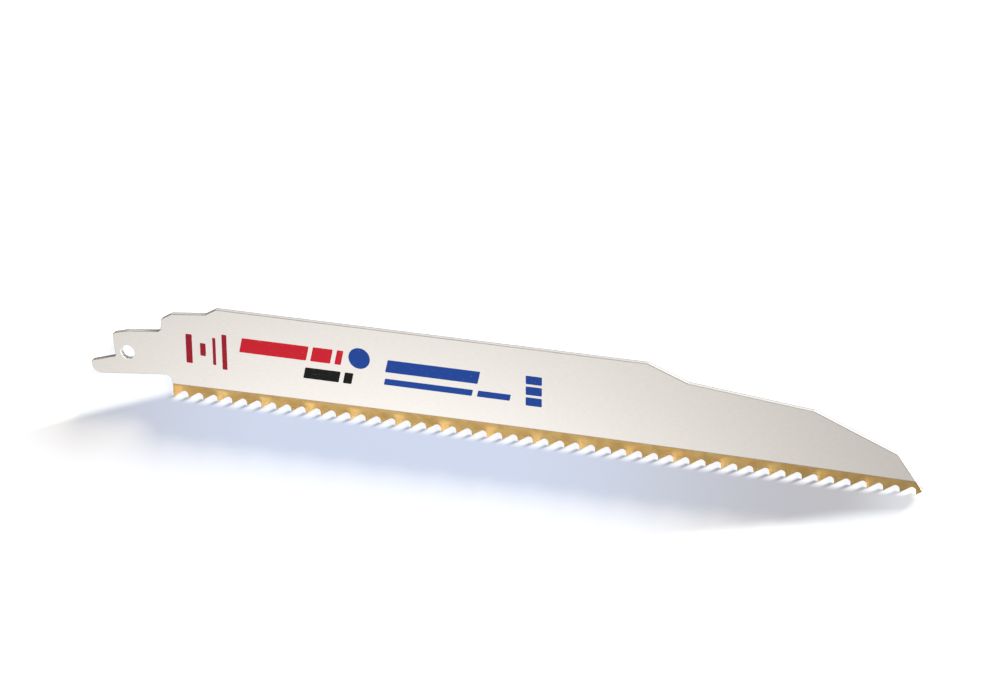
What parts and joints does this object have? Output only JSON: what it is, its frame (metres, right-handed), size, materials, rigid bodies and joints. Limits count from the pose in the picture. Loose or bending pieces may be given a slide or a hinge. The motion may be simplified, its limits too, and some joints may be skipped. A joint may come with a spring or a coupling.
{
  "type": "reciprocating saw blade",
  "caption": "Two-metal reciprocating saw blade with a canted half-inch tang, coarse raker-set teeth and a tapered nose, lying on its side.",
  "frame": {"origin": "centre of the tang hole, halfway through the thickness", "axes": "+X along the tooth line towards the nose, +Y towards the spine, +Z out of the printed face"},
  "size_m": [0.2287, 0.0274, 0.0022],
  "materials": {
    "painted_backing": "satin warm grey paint over spring steel",
    "gold_coated_edge": "satin gold-coloured hard coating over tool steel"
  },
  "bodies": {
    "root": {"backing_strip": "painted_backing", "cutting_edge": "gold_coated_edge"}
  },
  "joints": []
}
